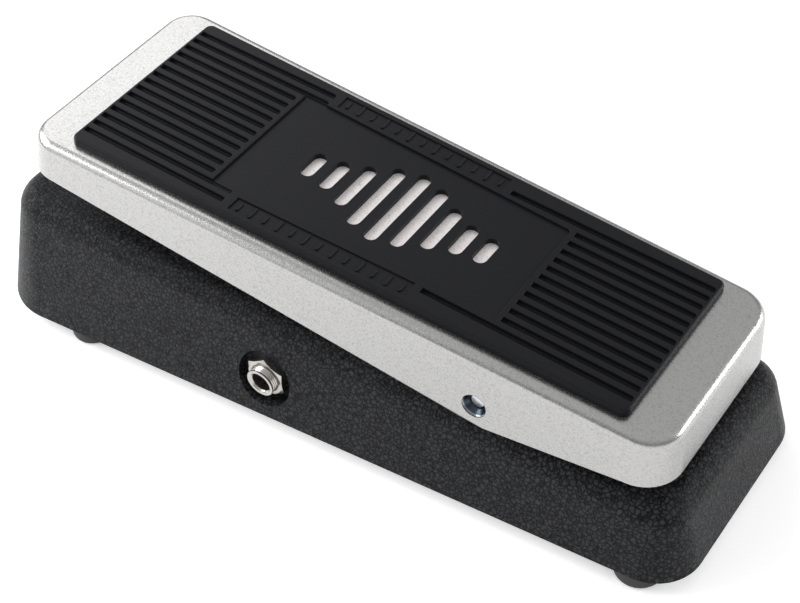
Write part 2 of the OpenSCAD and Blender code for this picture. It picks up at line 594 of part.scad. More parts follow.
// Electronics hang from posts under the heel end
module circuit_board() color([0.5, 0.42, 0.22]) difference() {
    translate([-24, -102, board_z]) cube([48, 58, board_t]);
    for (p = board_at) translate([p[0], p[1], board_z - 1]) cylinder(r = small_screw_r + 0.1, h = 4);
}
module board_screws() color([0.75, 0.75, 0.77])
    for (p = board_at) translate([p[0], p[1], board_z]) screw(small_screw_r - gap, 7, 2.4, 1.2);
module under_board(x, y, h) translate([x, y, board_z - h]) children();
module inductor() color([0.75, 0.15, 0.12]) under_board(-8, -80, 9.5) difference() {
    cylinder(r = 6.75, h = 9.5);
    translate([0, 0, -1]) cylinder(r = 1.6, h = 4);
    for (a = [0, 90]) rotate([0, 0, a]) translate([-1, -8, 3.5]) cube([2, 16, 2.5]);
}
module film_capacitors() color([0.5, 0.12, 0.1])
    for (p = [[12, -66], [12, -72], [4, -58], [-14, -60]])
        under_board(p[0], p[1], 8) translate([-3.8, -1.5, 0]) cube([7.6, 3, 8]);
module electrolytic_capacitor() color([0.1, 0.12, 0.3]) under_board(12, -90, 9) cylinder(r = 3.2, h = 9);
module resistors() color([0.76, 0.66, 0.5])
    for (p = [[0, -95], [0, -99], [3.4, -66], [3.4, -70], [-12, -67], [15, -80]])
        under_board(p[0], p[1], 1.3) {
            translate([-3, 0, 0]) rotate([0, 90, 0]) cylinder(r = 1.1, h = 6);
            for (x = [-4, 4]) translate([x, 0, -0.2]) cylinder(r = 0.3, h = 1.5);
            translate([-4.3, 0, 0]) rotate([0, 90, 0]) cylinder(r = 0.3, h = 8.6);
        }
module transistors() color([0.1, 0.1, 0.1]) for (p = [[4, -78], [4, -86]]) under_board(p[0], p[1], 7) {
    difference() {
        cylinder(r = 2.3, h = 4.6);
        translate([1.3, -3, -1]) cube([3, 6, 7]);
    }
    for (y = [-1.2, 0, 1.2]) translate([-0.2, y - 0.2, 4.6]) cube([0.4, 0.4, 2.4]);
}

// Battery, toe end, left of the middle plane
battery_x = -35;
battery_y = 29;
battery_z = 7.6;
module battery() color([0.2, 0.2, 0.22]) translate([battery_x, battery_y, battery_z]) {
    cube([26.5, 48.5, 17.5]);
    for (x = [6.9, 19.6]) translate([x, 0, 8.75]) rotate([90, 0, 0]) cylinder(r = 2.9, h = 2.2);
}
module battery_clip() color([0.08, 0.08, 0.08]) translate([battery_x, battery_y, battery_z]) difference() {
    translate([0.5, -4.6, 1.5]) cube([25.5, 4.4, 14.5]);
    for (x = [6.9, 19.6]) translate([x, 1, 8.75]) rotate([90, 0, 0]) cylinder(r = 2.95, h = 3.5);
}
module battery_foam() color([0.25, 0.25, 0.25])
    translate([battery_x + 1, battery_y + 2, plate_z]) cube([24.5, 44, battery_z - plate_z]);

// Hookup wires: eight-sided tubes swept along short hand-laid routes
wire_r = 0.7;
wire_routes = [
    [[-16.9, 13.2, 27.8], [-14, 8, 27.6], [-13, -5, 26], [-13, -20, 25], [-14, -33, 24], [-15, -43.4, 20.4]],
    [[21.6, 8.6, 10], [21.6, 3, 9.4], [22, -10, 9], [21, -25, 10], [18, -36, 14], [15, -43.4, 20.2]],
    [[12.4, -5.6, 9], [12, -15, 9], [10, -30, 11], [8, -38, 15], [6, -43.4, 20.2]],
    [[-5, 83, 18], [-4, 70, 14], [-4, 50, 12], [-4, 30, 11], [-5, 20, 10], [-6.5, 5, 9],
     [-9, -15, 9], [-9, -32, 12], [-8, -43.4, 20.2]],
    [[-12, 23.6, 12], [-11, 16, 10], [-12, 4, 9], [-14, -15, 9], [-14, -32, 12], [-13, -43.4, 20.2]],
    [[30, 51.2, 14], [26, 44, 11], [16, 34, 9.5], [10, 22, 9], [7.6, 11, 8.9], [6.2, -2, 8.8],
     [5.6, -14, 9], [4, -30, 11], [2, -43.4, 20.2]]];
function unit(v) = v / norm(v);
function along(p, i) = unit(p[min(i + 1, len(p) - 1)] - p[max(i - 1, 0)]);
function ring(p, i) = let (t = along(p, i), u = unit(cross(t, [0.3, 0.2, 1])), v = cross(t, u))
    [for (k = [0 : 7]) p[i] + wire_r * (cos(45 * k) * u + sin(45 * k) * v)];
module wire(p) polyhedron(
    points = [for (i = [0 : len(p) - 1]) each ring(p, i)],
    faces = concat([[for (k = [7 : -1 : 0]) k]],
        [for (i = [0 : len(p) - 2], k = [0 : 7]) [8 * i + k, 8 * i + (k + 1) % 8,
                                                  8 * i + 8 + (k + 1) % 8, 8 * i + 8 + k]],
        [[for (k = [0 : 7]) 8 * (len(p) - 1) + k]]));
module hookup_wires() color([0.5, 0.1, 0.1]) for (p = wire_routes) wire(p);

base_housing();
pivot_pedestal();
bottom_plate();
rubber_feet();
foot_screws();
treadle();
rubber_pad();
pivot_shaft();
shaft_grub_screws();
pivot_bushes();
friction_plug();
tension_screw();
rack_bracket();
rack_bracket_screws();
rack_pin();
toothed_rack();
rack_guide();
pinion_gear();
pinion_grub_screw();
pot_shaft();
pot_case();
pot_lugs();
pot_nut();
pot_bracket();
pot_bracket_screws();
footswitch_case();
footswitch_bushing();
footswitch_lugs();
footswitch_washer();
footswitch_nut();
footswitch_plunger();
toe_bumper();
heel_bumpers();
output_jack();
output_jack_contacts();
output_jack_nut();
input_jack();
input_jack_contacts();
input_jack_nut();
power_jack();
power_jack_pin();
circuit_board();
board_screws();
inductor();
film_capacitors();
electrolytic_capacitor();
resistors();
transistors();
battery();
battery_clip();
battery_foam();
hookup_wires();
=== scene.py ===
import math
import bmesh
import bpy
from mathutils import Matrix, Vector


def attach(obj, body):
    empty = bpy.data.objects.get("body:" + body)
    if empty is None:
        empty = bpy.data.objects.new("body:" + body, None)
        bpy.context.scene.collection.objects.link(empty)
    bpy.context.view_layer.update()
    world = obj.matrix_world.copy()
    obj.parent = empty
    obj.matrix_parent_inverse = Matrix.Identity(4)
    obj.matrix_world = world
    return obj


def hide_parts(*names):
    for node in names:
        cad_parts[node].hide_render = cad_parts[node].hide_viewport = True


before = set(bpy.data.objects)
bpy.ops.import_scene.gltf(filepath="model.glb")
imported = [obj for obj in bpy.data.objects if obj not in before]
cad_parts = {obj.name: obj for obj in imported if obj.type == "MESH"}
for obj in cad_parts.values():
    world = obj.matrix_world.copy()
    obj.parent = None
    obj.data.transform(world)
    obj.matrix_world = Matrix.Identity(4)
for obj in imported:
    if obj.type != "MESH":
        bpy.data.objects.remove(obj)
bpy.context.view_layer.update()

# ---------------------------------------------------------------- housing
# The wedge-shaped lower half of the pedal, one aluminium casting open at the bottom.
# It is sprayed with a thick black paint that shrinks into fine leathery wrinkles as it bakes.
mm = 0.001


def coat(name, colour, roughness, metallic=0.0):
    """A new surface, as its material, its node tree and its main shader."""
    made = bpy.data.materials.new(name)
    made.use_nodes = True
    shader = made.node_tree.nodes["Principled BSDF"]
    shader.inputs["Base Color"].default_value = (*colour, 1)
    shader.inputs["Roughness"].default_value = roughness
    shader.inputs["Metallic"].default_value = metallic
    return made, made.node_tree, shader


def pattern(tree, kind, size, detail=3.0, **settings):
    """A noise or cell pattern whose features are about `size` metres across."""
    if "Texture Coordinate" not in tree.nodes:
        tree.nodes.new("ShaderNodeTexCoord").name = "Texture Coordinate"
    place = tree.nodes["Texture Coordinate"].outputs["Object"]
    made = tree.nodes.new(kind)
    made.inputs["Scale"].default_value = 1 / size
    if "Detail" in made.inputs:
        made.inputs["Detail"].default_value = detail
    for key, value in settings.items():
        setattr(made, key, value)
    tree.links.new(place, made.inputs["Vector"])
    return made


def ramp(tree, value, stops):
    """Turns a pattern's value into the colours or greys given at the stops."""
    made = tree.nodes.new("ShaderNodeValToRGB")
    made.color_ramp.elements[0].position = stops[0][0]
    made.color_ramp.elements[1].position = stops[-1][0]
    for place, _ in stops[1:-1]:
        made.color_ramp.elements.new(place)
    for stop, (_, colour) in zip(made.color_ramp.elements, stops):
        stop.color = (*colour, 1) if isinstance(colour, tuple) else (colour, colour, colour, 1)
    tree.links.new(value, made.inputs["Fac"])
    return made.outputs["Color"]


def relief(tree, shader, height, depth, strength=1.0, after=None):
    """Bump from a pattern; `after` is an earlier bump that this one is added to."""
    made = tree.nodes.new("ShaderNodeBump")
    made.inputs["Distance"].default_value = depth
    made.inputs["Strength"].default_value = strength
    tree.links.new(height, made.inputs["Height"])
    if after is not None:
        tree.links.new(after, made.inputs["Normal"])
    tree.links.new(made.outputs["Normal"], shader.inputs["Normal"])
    return made.outputs["Normal"]


def dress(node, material, edge=0.0, angle=35):
    """Gives a CAD node its finish and, where edge is set, lightly broken edges."""
    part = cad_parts[node]
    part.data.materials.clear()
    part.data.materials.append(material)
    if "custom_normal" in part.data.attributes:
        part.data.attributes.remove(part.data.attributes["custom_normal"])
    part.data.polygons.foreach_set("use_smooth", [True] * len(part.data.polygons))
    weld = part.modifiers.new("weld", "WELD")
    weld.merge_threshold = 0.002 * mm
    flats = part.modifiers.new("flats", "DECIMATE")
    flats.decimate_type = "DISSOLVE"
    flats.angle_limit = math.radians(0.4)
    if edge:
        bevel = part.modifiers.new("edges", "BEVEL")
        bevel.width = edge
        bevel.segments = 2
        bevel.limit_method = "ANGLE"
        bevel.angle_limit = math.radians(angle)
    else:
        split = part.modifiers.new("sharp", "EDGE_SPLIT")
        split.split_angle = math.radians(angle)
    normals = part.modifiers.new("normals", "WEIGHTED_NORMAL")
    normals.keep_sharp = True
    return part


wrinkle_paint, tree, shader = coat("wrinkle_paint", (0.030, 0.032, 0.037), 0.38)
shader.inputs["Specular IOR Level"].default_value = 0.12
wander = pattern(tree, "ShaderNodeTexNoise", 2.2 * mm, 2)
shift = tree.nodes.new("ShaderNodeVectorMath")
shift.operation = "MULTIPLY_ADD"
shift.inputs[1].default_value = (1.5 * mm, 1.5 * mm, 1.5 * mm)
tree.links.new(wander.outputs["Color"], shift.inputs[0])
tree.links.new(tree.nodes["Texture Coordinate"].outputs["Object"], shift.inputs[2])
wrinkles = pattern(tree, "ShaderNodeTexVoronoi", 1.5 * mm, feature="F1")
cracks = pattern(tree, "ShaderNodeTexVoronoi", 1.5 * mm, feature="DISTANCE_TO_EDGE")
folds = pattern(tree, "ShaderNodeTexVoronoi", 0.8 * mm, feature="F1")
for cells in (wrinkles, cracks, folds):
    tree.links.new(shift.outputs[0], cells.inputs["Vector"])
grit = pattern(tree, "ShaderNodeTexNoise", 0.35 * mm, 3)
swollen = ramp(tree, wrinkles.outputs["Distance"], [(0.0, 1.0), (0.35, 0.82), (0.8, 0.0)])
folded = ramp(tree, folds.outputs["Distance"], [(0.0, 1.0), (0.4, 0.75), (0.8, 0.0)])
bumps = relief(tree, shader, swollen, 0.7 * mm)
bumps = relief(tree, shader, folded, 0.3 * mm, after=bumps)
relief(tree, shader, grit.outputs["Fac"], 0.2 * mm, after=bumps)
gloss = ramp(tree, grit.outputs["Fac"], [(0.35, 0.26), (0.65, 0.50)])
tree.links.new(gloss, shader.inputs["Roughness"])
# The cracks between wrinkle cells are painted near black and the cell crests lighter, on top of the
# bump: painted shade in the crevices and painted highlight on the crests.
crevice_shade = (0.001, 0.001, 0.0013)
slope = (0.036, 0.038, 0.042)
crest_highlight = (0.053, 0.056, 0.064)
painted_wrinkle_light = ramp(tree, cracks.outputs["Distance"], [(0.03, crevice_shade), (0.11, slope), (0.26, crest_highlight)])
tree.links.new(painted_wrinkle_light, shader.inputs["Base Color"])
dress("base_housing", wrinkle_paint, edge=0.5 * mm, angle=40)
dress("pivot_pedestal", wrinkle_paint, edge=0.4 * mm, angle=40)

# ---------------------------------------------------------------- bottom plate, feet and their screws
# A zinc plated steel plate closes the housing and four black rubber feet hold it on.
# Each foot is moulded with a recess that keeps its screw head clear of the floor.
zinc_steel, tree, shader = coat("zinc_steel", (0.62, 0.62, 0.63), 0.38, 1.0)
spangle = pattern(tree, "ShaderNodeTexVoronoi", 3.0 * mm)
spangle_gloss = ramp(tree, spangle.outputs["Distance"], [(0.0, 0.30), (1.0, 0.46)])
tree.links.new(spangle_gloss, shader.inputs["Roughness"])
relief(tree, shader, pattern(tree, "ShaderNodeTexNoise", 0.4 * mm).outputs["Fac"], 0.02 * mm)


def grained(name, colour, roughness, metallic, grain, depth):
    """A surface whose relief is one even grain, as left by moulding or plating."""
    made, tree, shader = coat(name, colour, roughness, metallic)
    relief(tree, shader, pattern(tree, "ShaderNodeTexNoise", grain).outputs["Fac"], depth)
    return made


foot_rubber = grained("foot_rubber", (0.018, 0.018, 0.019), 0.6, 0.0, 0.3 * mm, 0.05 * mm)
dress("bottom_plate", zinc_steel, edge=0.2 * mm)
dress("rubber_feet", foot_rubber, edge=0.5 * mm)
dress("foot_screws", zinc_steel, edge=0.2 * mm)

# ---------------------------------------------------------------- signal sockets
# Quarter-inch sockets: a nickel plated frame with a threaded barrel, a hex nut and two leaf contacts.
# The nut pulls the barrel tight in the round dish that is cast into each side.
nickel = grained("nickel", (0.52, 0.50, 0.47), 0.27, 1.0, 0.3 * mm, 0.01 * mm)
brass = grained("brass", (0.70, 0.55, 0.28), 0.3, 1.0, 0.5 * mm, 0.01 * mm)
for socket in ("output_jack", "input_jack"):
    dress(socket, nickel, edge=0.04 * mm, angle=25)
    dress(socket + "_contacts", brass, edge=0.05 * mm)

nut_h = 2.6 * mm
nut_across = 12.7 * mm
nut_bore = 4.77 * mm
face_share = 0.97
chamfer = math.radians(28)
dish_floor = 39.8 * mm
socket_y = 13.2 * mm
socket_z = 18.4 * mm


def hex_nut(name, sign, steps=72):
    """A nut whose outer face is turned to a chamfer, so each flat ends in a curve."""
    flat = nut_across / 2
    built = bmesh.new()
    rows = []
    for i in range(steps):
        a = 2 * math.pi * i / steps
        off = (a + math.pi / 6) % (math.pi / 3) - math.pi / 6
        corner = flat / math.cos(off)
        face = flat * face_share
        drop = (corner - face) * math.tan(chamfer)
        profile = [(nut_bore, 0), (corner, 0), (corner, nut_h - drop), (face, nut_h),
                   (nut_bore + 0.35 * mm, nut_h), (nut_bore, nut_h - 0.3 * mm)]
        row = []
        for r, h in profile:
            place = (sign * (dish_floor + h), socket_y + r * math.cos(a), socket_z + r * math.sin(a))
            row.append(built.verts.new(place))
        rows.append(row)
    for row, following in zip(rows, rows[1:] + rows[:1]):
        for j in range(len(row)):
            k = (j + 1) % len(row)
            built.faces.new((row[j], row[k], following[k], following[j]))
    bmesh.ops.recalc_face_normals(built, faces=built.faces)
    mesh = bpy.data.meshes.new(name)
    built.to_mesh(mesh)
    built.free()
    mesh.polygons.foreach_set("use_smooth", [True] * len(mesh.polygons))
    mesh.materials.append(nickel)
    nut = bpy.data.objects.new(name, mesh)
    bpy.context.scene.collection.objects.link(nut)
    split = nut.modifiers.new("sharp", "EDGE_SPLIT")
    split.split_angle = math.radians(20)
    return nut


for name, sign, plain in (("output_nut", -1, "output_jack_nut"), ("input_nut", 1, "input_jack_nut")):
    nut = hex_nut(name, sign)
    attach(nut, "base")
    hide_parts(plain)

# ---------------------------------------------------------------- power socket
# A square socket moulded in black plastic for a 9 V supply, with a turned brass centre pin.
# Its round nose sits in a hole in the housing's right wall.
black_plastic = grained("black_plastic", (0.02, 0.02, 0.021), 0.4, 0.0, 0.4 * mm, 0.02 * mm)
dress("power_jack", black_plastic, edge=0.2 * mm)
dress("power_jack_pin", brass, edge=0.2 * mm)

# ---------------------------------------------------------------- footswitch
# A push switch under the toe: a blue thermoset case with a nickel plated bushing and plunger.
# The bushing stands through the housing's top face, held by a washer and a nut.
blue_plastic = grained("blue_plastic", (0.03, 0.08, 0.30), 0.3, 0.0, 0.8 * mm, 0.02 * mm)
dress("footswitch_case", blue_plastic, edge=0.3 * mm)
for piece in ("footswitch_bushing", "footswitch_washer", "footswitch_nut", "footswitch_plunger"):
    dress(piece, nickel, edge=0.2 * mm)
dress("footswitch_lugs", brass, edge=0.1 * mm)

# ---------------------------------------------------------------- control and its drive
# A moulded nylon rack turns a nylon pinion on the steel shaft of a round control.
# The control's case is pressed zinc plated steel, and a nut holds it in a bent steel bracket
# that two screws fix to bosses in the housing.
bright_steel = grained("bright_steel", (0.72, 0.72, 0.74), 0.2, 1.0, 0.2 * mm, 0.01 * mm)
black_steel = grained("black_steel", (0.10, 0.10, 0.11), 0.35, 1.0, 0.2 * mm, 0.01 * mm)
nylon, tree, shader = coat("nylon", (0.80, 0.77, 0.68), 0.42)
shader.inputs["Subsurface Weight"].default_value = 0.2
shader.inputs["Subsurface Radius"].default_value = (0.002, 0.002, 0.0015)
relief(tree, shader, pattern(tree, "ShaderNodeTexNoise", 0.5 * mm).outputs["Fac"], 0.02 * mm)
for piece in ("rack_guide", "pinion_gear", "toothed_rack"):
    dress(piece, nylon, edge=0.08 * mm)
dress("pinion_grub_screw", black_steel, edge=0.1 * mm)
dress("pot_shaft", bright_steel, edge=0.2 * mm)
for piece in ("pot_case", "pot_bracket", "pot_bracket_screws"):
    dress(piece, zinc_steel, edge=0.15 * mm)
dress("pot_nut", nickel, edge=0.2 * mm)
dress("pot_lugs", brass, edge=0.1 * mm)

# ---------------------------------------------------------------- circuit board
# A tan phenolic board on four posts near the heel, each post with its own screw.
# It carries a round inductor, film and electrolytic capacitors, resistors and transistors.
board = grained("board", (0.30, 0.22, 0.09), 0.45, 0.0, 0.6 * mm, 0.02 * mm)
dress("circuit_board", board)
dress("board_screws", zinc_steel, edge=0.1 * mm)
parts = [("inductor", (0.50, 0.03, 0.02)), ("film_capacitors", (0.28, 0.03, 0.02)),
         ("electrolytic_capacitor", (0.02, 0.03, 0.14)), ("resistors", (0.55, 0.42, 0.24)),
         ("transistors", (0.02, 0.02, 0.02))]
for piece, colour in parts:
    dress(piece, grained(piece, colour, 0.35, 0.0, 0.5 * mm, 0.03 * mm), edge=0.3 * mm)

# ---------------------------------------------------------------- battery and wires
# A 9 V block battery in a plain dark wrap lies on a foam strip and wears a plastic snap clip.
# Six red plastic-covered wires join the board to the switch, sockets, control and battery clip.
battery_wrap = grained("battery_wrap", (0.03, 0.03, 0.035), 0.25, 0.0, 2 * mm, 0.03 * mm)
dress("battery", battery_wrap, edge=0.8 * mm)
dress("battery_clip", black_plastic, edge=0.4 * mm)
dress("battery_foam", foot_rubber)
wire_plastic = grained("wire_plastic", (0.30, 0.02, 0.02), 0.4, 0.0, 0.5 * mm, 0.02 * mm)
dress("hookup_wires", wire_plastic)

# ---------------------------------------------------------------- treadle
# The rocking foot plate: an aluminium casting blasted to an even grain and then chrome plated.
# Its skirts hang over the housing, and the pivot shaft passes through a hole in each of them.
satin_chrome, tree, shader = coat("satin_chrome", (0.58, 0.575, 0.57), 0.26, 1.0)
blast = pattern(tree, "ShaderNodeTexNoise", 0.45 * mm, 4)
facets = pattern(tree, "ShaderNodeTexVoronoi", 0.5 * mm)
grain = relief(tree, shader, blast.outputs["Fac"], 0.016 * mm)
relief(tree, shader, facets.outputs["Distance"], 0.01 * mm, after=grain)
flecks = ramp(tree, facets.outputs["Color"], [(0.1, (0.29, 0.288, 0.286)), (0.9, (0.45, 0.447, 0.443))])
smooth = ramp(tree, blast.outputs["Fac"], [(0.35, 0.20), (0.65, 0.34)])

# Inside the pad's cut-outs the top is painted a rougher, less metallic pinkish near-white: a painted
# highlight on the metal seen through the bars.
bars_y = -10 * mm
reach = tree.nodes.new("ShaderNodeVectorMath")
reach.operation = "MULTIPLY_ADD"
reach.inputs[1].default_value = (15, 10, 0)
reach.inputs[2].default_value = (0, -10 * bars_y, 0)
tree.links.new(tree.nodes["Texture Coordinate"].outputs["Object"], reach.inputs[0])
away = tree.nodes.new("ShaderNodeVectorMath")
away.operation = "LENGTH"
tree.links.new(reach.outputs[0], away.inputs[0])
bar_highlight_mask = ramp(tree, away.outputs["Value"], [(0.38, 1.0), (0.40, 0.0)])
rough_choice = tree.nodes.new("ShaderNodeMix")
rough_choice.data_type = "FLOAT"
tree.links.new(bar_highlight_mask, rough_choice.inputs["Factor"])
tree.links.new(smooth, rough_choice.inputs[2])
rough_choice.inputs[3].default_value = 0.5
tree.links.new(rough_choice.outputs[0], shader.inputs["Roughness"])
# Pinkish near-white flecks, the colour of the painted highlight in the cut-outs.
bar_highlight_colour = ramp(tree, facets.outputs["Color"], [(0.2, (0.60, 0.55, 0.545)), (0.8, (0.95, 0.90, 0.895))])
bar_highlight_mix = tree.nodes.new("ShaderNodeMix")
bar_highlight_mix.data_type = "RGBA"
tree.links.new(bar_highlight_mask, bar_highlight_mix.inputs["Factor"])
tree.links.new(flecks, bar_highlight_mix.inputs[6])
tree.links.new(bar_highlight_colour, bar_highlight_mix.inputs[7])
tree.links.new(ramp(tree, away.outputs["Value"], [(0.38, 0.35), (0.40, 1.0)]), shader.inputs["Metallic"])

# The walls of the two pivot holes are painted a dark bluish grey: painted shade inside the holes.
pivot_at = Vector((0, -58.9 * mm, 42.2 * mm))
round_pivot = tree.nodes.new("ShaderNodeVectorMath")
round_pivot.operation = "MULTIPLY_ADD"
round_pivot.inputs[1].default_value = (0, 100, 100)
round_pivot.inputs[2].default_value = -100 * pivot_at
tree.links.new(tree.nodes["Texture Coordinate"].outputs["Object"], round_pivot.inputs[0])
off_pivot = tree.nodes.new("ShaderNodeVectorMath")
off_pivot.operation = "LENGTH"
tree.links.new(round_pivot.outputs[0], off_pivot.inputs[0])
hole_shade_mask = ramp(tree, off_pivot.outputs["Value"], [(0.36, 1.0), (0.39, 0.0)])
hole_shade_mix = tree.nodes.new("ShaderNodeMix")
hole_shade_mix.data_type = "RGBA"
tree.links.new(hole_shade_mask, hole_shade_mix.inputs["Factor"])
tree.links.new(bar_highlight_mix.outputs[2], hole_shade_mix.inputs[6])
hole_shade_mix.inputs[7].default_value = (0.05, 0.065, 0.085, 1)
tree.links.new(hole_shade_mix.outputs[2], shader.inputs["Base Color"])
dress("treadle", satin_chrome, edge=0.25 * mm, angle=50)

# ---------------------------------------------------------------- pivot
# A ground steel shaft turns in two nylon bushes, and a screw presses a nylon plug on it for
# friction. Grub screws hold the treadle on the shaft. A steel bracket under the treadle
# carries the rack's pin, and rubber bumpers stop the travel at each end.
pivot_pieces = [("pivot_shaft", bright_steel, 0.1), ("pivot_bushes", nylon, 0.2),
                ("friction_plug", nylon, 0.1), ("shaft_grub_screws", black_steel, 0.1),
                ("tension_screw", black_steel, 0.1), ("rack_bracket", zinc_steel, 0.2),
                ("rack_bracket_screws", zinc_steel, 0.1), ("rack_pin", bright_steel, 0.1),
                ("toe_bumper", foot_rubber, 0.4), ("heel_bumpers", foot_rubber, 0.3)]
for piece, material, edge in pivot_pieces:
    dress(piece, material, edge * mm)

# ---------------------------------------------------------------- rubber pad
# A moulded black rubber mat glued to the treadle. Its ribs run along the foot, a sunk panel
# with nine cut-out bars sits in the middle, and a row of plain dashes stands along each side.
# The treadle's own frame: y runs along its top face, z is normal to it.
tilt = math.radians(5.85)
on_treadle = Matrix.Translation((0, 0, 65.2 * mm)) @ Matrix.Rotation(tilt, 4, "X")
pad_h = 2.6 * mm
toe_half = 33.8 * mm
heel_half = 29.2 * mm
toe_y = 86.7 * mm
heel_y = -102.7 * mm


def side_at(y, inset=0.0):
    """Half width of the pad at a place along it, moved in by inset."""
    lean = (toe_half - heel_half) / (toe_y - heel_y)
    return heel_half + lean * (y - heel_y) - inset * math.sqrt(1 + lean * lean)


def tapered_ring(toe, heel, y1, y0, radius, inset, z, steps=6):
    """A four-sided outline with round corners, moved in by inset, at height z."""
    lean = (toe - heel) / (y1 - y0)
    slope = math.sqrt(1 + lean * lean)
    turn = math.atan(lean)
    r = max(radius - inset, 0.05 * mm)
    y1, y0, old = y1 - inset, y0 + inset, y0
    toe, heel = (heel + lean * (y - old) - inset * slope for y in (y1, y0))
    tx = toe - lean * r - r * slope
    hx = heel + lean * r - r * slope
    quarter = math.pi / 2
    arcs = [(hx, y0 + r, -quarter, -turn), (tx, y1 - r, -turn, quarter),
            (-tx, y1 - r, quarter, math.pi + turn), (-hx, y0 + r, math.pi + turn, 3 * quarter)]
    ring = []
    for cx, cy, a0, a1 in arcs:
        for i in range(steps + 1):
            a = a0 + (a1 - a0) * i / steps
            ring.append(Vector((cx + r * math.cos(a), cy + r * math.sin(a), z)))
    return ring


def slot_ring(start, end, half, z, steps=8, power=1.0):
    """A long hole's outline at height z; its ends are half round, or squarer at a low power."""
    along = (Vector(end) - Vector(start)).normalized()
    across = Vector((along.y, -along.x))
    ring = []
    for centre, sign in ((Vector(end), 1), (Vector(start), -1)):
        for i in range(steps + 1):
            a = math.pi * i / steps
            aside = math.copysign(abs(math.cos(a)) ** power, math.cos(a))
            p = centre + sign * half * (aside * across + abs(math.sin(a)) ** power * along)
            ring.append(Vector((p.x, p.y, z)))
    return ring


def skin(name, stacks):
    """One mesh of closed solids, each a stack of rings from the bottom up."""
    built = bmesh.new()
    for rings in stacks:
        rows = [[built.verts.new(p) for p in ring] for ring in rings]
        count = len(rows[0])
        for low, high in zip(rows, rows[1:]):
            for i in range(count):
                j = (i + 1) % count
                built.faces.new((low[i], low[j], high[j], high[i]))
        built.faces.new(rows[0][::-1])
        built.faces.new(rows[-1])
    bmesh.ops.recalc_face_normals(built, faces=built.faces)
    mesh = bpy.data.meshes.new(name)
    built.to_mesh(mesh)
    built.free()
    made = bpy.data.objects.new(name, mesh)
    bpy.context.scene.collection.objects.link(made)
    return made


def cut_away(body, cutter, mode="DIFFERENCE"):
    """Takes the cutter's solids out of the body, or adds them, then drops the cutter."""
    change = body.modifiers.new("cut", "BOOLEAN")
    change.operation = mode
    change.solver = "EXACT"
    change.object = cutter
    bpy.context.view_layer.update()
    cut = bpy.data.meshes.new_from_object(body.evaluated_get(bpy.context.evaluated_depsgraph_get()))
    body.modifiers.clear()
    body.data = cut
    bpy.data.objects.remove(cutter)


def flare(radius, steps=4):
    """Steps of a rounded edge, as (drop below the top, move outwards) pairs."""
    turns = [math.pi / 2 * i / steps for i in range(steps + 1)]
    return [(radius * (1 - math.sin(a)), radius * (1 - math.cos(a))) for a in turns]


edge_r = 0.9 * mm
rim = [(0.0, 0.0), (pad_h - edge_r, 0.15 * mm)]
for drop, move in flare(edge_r, 5)[1:]:
    rim.append((pad_h - drop, 0.15 * mm + move))
body = skin("pad", [[tapered_ring(toe_half, heel_half, toe_y, heel_y, 2.5 * mm, inset, z)
                     for z, inset in rim]])

groove_half = 0.95 * mm
groove_floor = pad_h - 1.4 * mm


def groove(start, end, half=groove_half, floor=groove_floor, top=pad_h):
    """A groove's cutter: round floor corners, and walls that flare into the rib's round edge."""
    round_floor = 0.25 * mm
    lip = 0.3 * mm
    sides = [(floor, half - round_floor), (floor + 0.08 * mm, half - 0.1 * mm),
             (floor + round_floor, half)]
    sides += [(top - drop, half + move) for drop, move in flare(lip, 3)]
    sides.append((top + 1 * mm, half + lip))
    return [slot_ring(start, end, width, z, power=0.4) for z, width in sides]


pitch = 4 * mm
panel_toe = 40.5 * mm
panel_heel = -56.5 * mm
panel_toe_half = 23.6 * mm
panel_heel_half = 20.6 * mm
edge_band = 2.2 * mm
past_panel = 2.6 * mm
cutters = []
for k in range(-7, 8):
    start = 33.5 * mm if abs(k) > 5 else panel_toe + past_panel
    cutters.append(groove((k * pitch, start), (k * pitch, toe_y - edge_band)))
for k in range(-6, 7):
    stop = -35 * mm if abs(k) > 5 else panel_heel - past_panel
    cutters.append(groove((k * pitch, heel_y + edge_band), (k * pitch, stop)))
cut_away(body, skin("grooves", cutters))


def sunk_field(name, floor, outline):
    """A sunk field's cutter: `outline` gives its ring, moved out by so much, at a height."""
    sides = [(floor, 0.0)] + [(pad_h - drop, move) for drop, move in flare(0.25 * mm, 3)]
    sides.append((pad_h + 1 * mm, 0.25 * mm))
    return skin(name, [[outline(move, z) for z, move in sides]])


def panel_ring(move, z):
    """The panel's outline, moved out by so much, at height z."""
    return tapered_ring(panel_toe_half, panel_heel_half, panel_toe, panel_heel, 0.8 * mm, -move, z)


panel_floor = pad_h - 0.8 * mm
cut_away(body, sunk_field("panel", panel_floor, panel_ring))

# A shallow field beside the panel on each side, with a row of raised dashes in it
strip_toe = 29.5 * mm
strip_heel = -31.4 * mm
strip_floor = pad_h - 0.55 * mm
strip_margin = 2.3 * mm


def strip_ring(side, move, z):
    """The outline of one side's field, moved out by so much, at height z."""
    ring = []
    for y, past in ((strip_heel, -move), (strip_toe, move)):
        share = (y - panel_heel) / (panel_toe - panel_heel)
        inner = panel_heel_half + share * (panel_toe_half - panel_heel_half) + 1.5 * mm
        outer = side_at(y, strip_margin)
        across = (inner - move, outer + move) if y == strip_heel else (outer + move, inner - move)
        ring += [Vector((side * x, y + past, z)) for x in across]
    return ring[::side]


for side in (-1, 1):
    cut_away(body, sunk_field("strip", strip_floor, lambda move, z: strip_ring(side, move, z)))
dashes = []
dash_count = 13
for side in (-1, 1):
    for i in range(dash_count):
        y = strip_heel + (strip_toe - strip_heel) * (i + 0.5) / dash_count
        x = side * (side_at(y, strip_margin) - 2.55 * mm)
        dash_half = 1.8 * mm if i % 2 else 1.2 * mm
        sides = [(strip_floor - 0.3 * mm, 0.65 * mm), (pad_h - 0.25 * mm, 0.55 * mm),
                 (pad_h - 0.1 * mm, 0.4 * mm)]
        dashes.append([slot_ring((x - dash_half, y), (x + dash_half, y), half, z, 5)
                       for z, half in sides])
cut_away(body, skin("dashes", dashes), "UNION")

